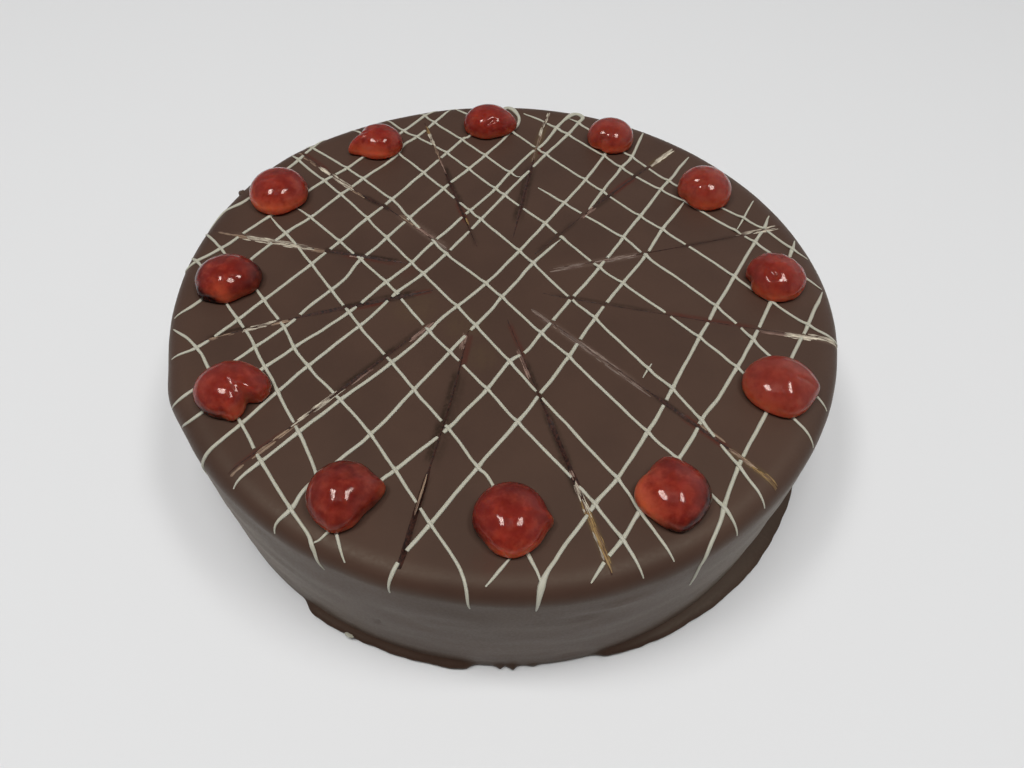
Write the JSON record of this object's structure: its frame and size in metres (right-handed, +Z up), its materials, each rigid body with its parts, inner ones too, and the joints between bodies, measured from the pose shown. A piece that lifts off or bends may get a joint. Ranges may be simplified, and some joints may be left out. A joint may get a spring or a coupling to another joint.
{
  "type": "black forest cake",
  "caption": "Whole round cake under poured dark chocolate, scored into portions, with halved glace cherries round the top and a fine white chocolate lattice.",
  "frame": {"origin": "the cake's axis on the flat base that it stands on", "axes": "+Z up through the top; +Y points away from the front of the cake"},
  "size_m": [0.2404, 0.2396, 0.0743],
  "materials": {
    "chocolate_coating": "satin dark chocolate glaze, set, with a soft sheen",
    "glace_cherry": "wet, translucent deep red candied fruit with a syrup gloss",
    "white_chocolate": "set white chocolate, dull cream",
    "score_crumb": "cream and crumb dragged up by the knife along the scores, moist"
  },
  "bodies": {
    "root": {"cake_body": "chocolate_coating", "cherry_01": "glace_cherry", "cherry_02": "glace_cherry", "cherry_03": "glace_cherry", "cherry_04": "glace_cherry", "cherry_05": "glace_cherry", "cherry_06": "glace_cherry", "cherry_07": "glace_cherry", "cherry_08": "glace_cherry", "cherry_09": "glace_cherry", "cherry_10": "glace_cherry", "cherry_11": "glace_cherry", "cherry_12": "glace_cherry"}
  },
  "joints": []
}
